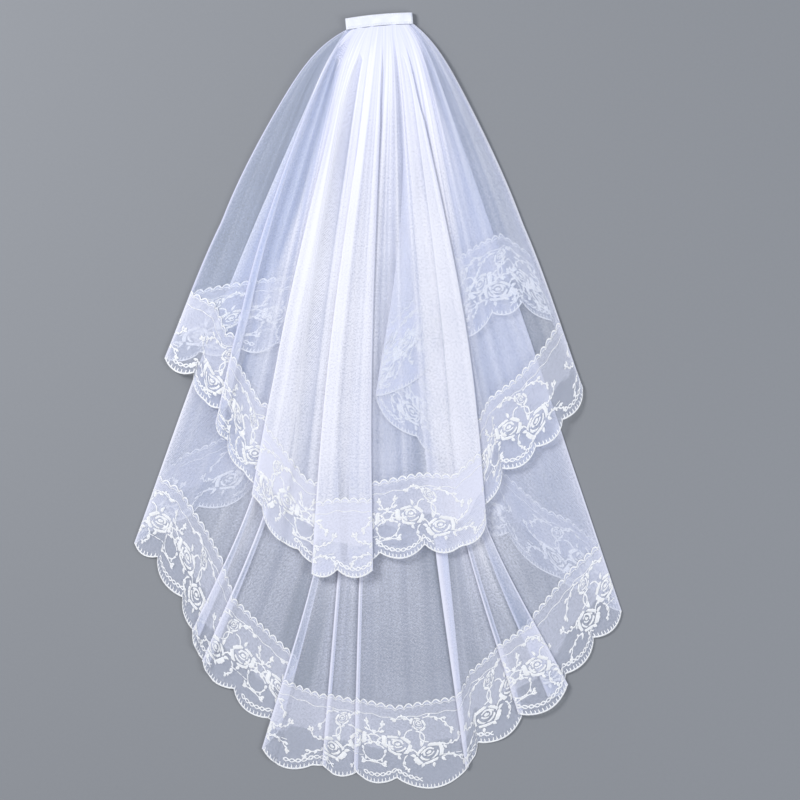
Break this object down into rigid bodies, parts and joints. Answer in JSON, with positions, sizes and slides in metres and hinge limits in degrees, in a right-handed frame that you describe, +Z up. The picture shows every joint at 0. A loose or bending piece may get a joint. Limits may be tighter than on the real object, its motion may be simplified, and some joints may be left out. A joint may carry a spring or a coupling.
{
  "type": "bridal veil",
  "caption": "Two-tier elbow-length bridal veil of gathered tulle with wide scalloped lace edging on a short satin header band, laid out flat with its sides turned under.",
  "frame": {"origin": "under the middle of the laid veil's bounding box, on the surface that it lies on", "axes": "+Y from the hem to the header band, +Z up out of the surface, +X to the right with the header at the top"},
  "size_m": [0.5815, 0.9228, 0.0132],
  "materials": {
    "satin": "white satin, soft shine",
    "tulle": "fine see-through net, white with a cool cast",
    "lace": "white corded flower lace on fine net"
  },
  "bodies": {
    "root": {"header_band": "satin", "upper_tier_tulle": "tulle", "upper_tier_lace": "lace", "lower_tier_tulle": "tulle", "lower_tier_lace": "lace"}
  },
  "joints": []
}
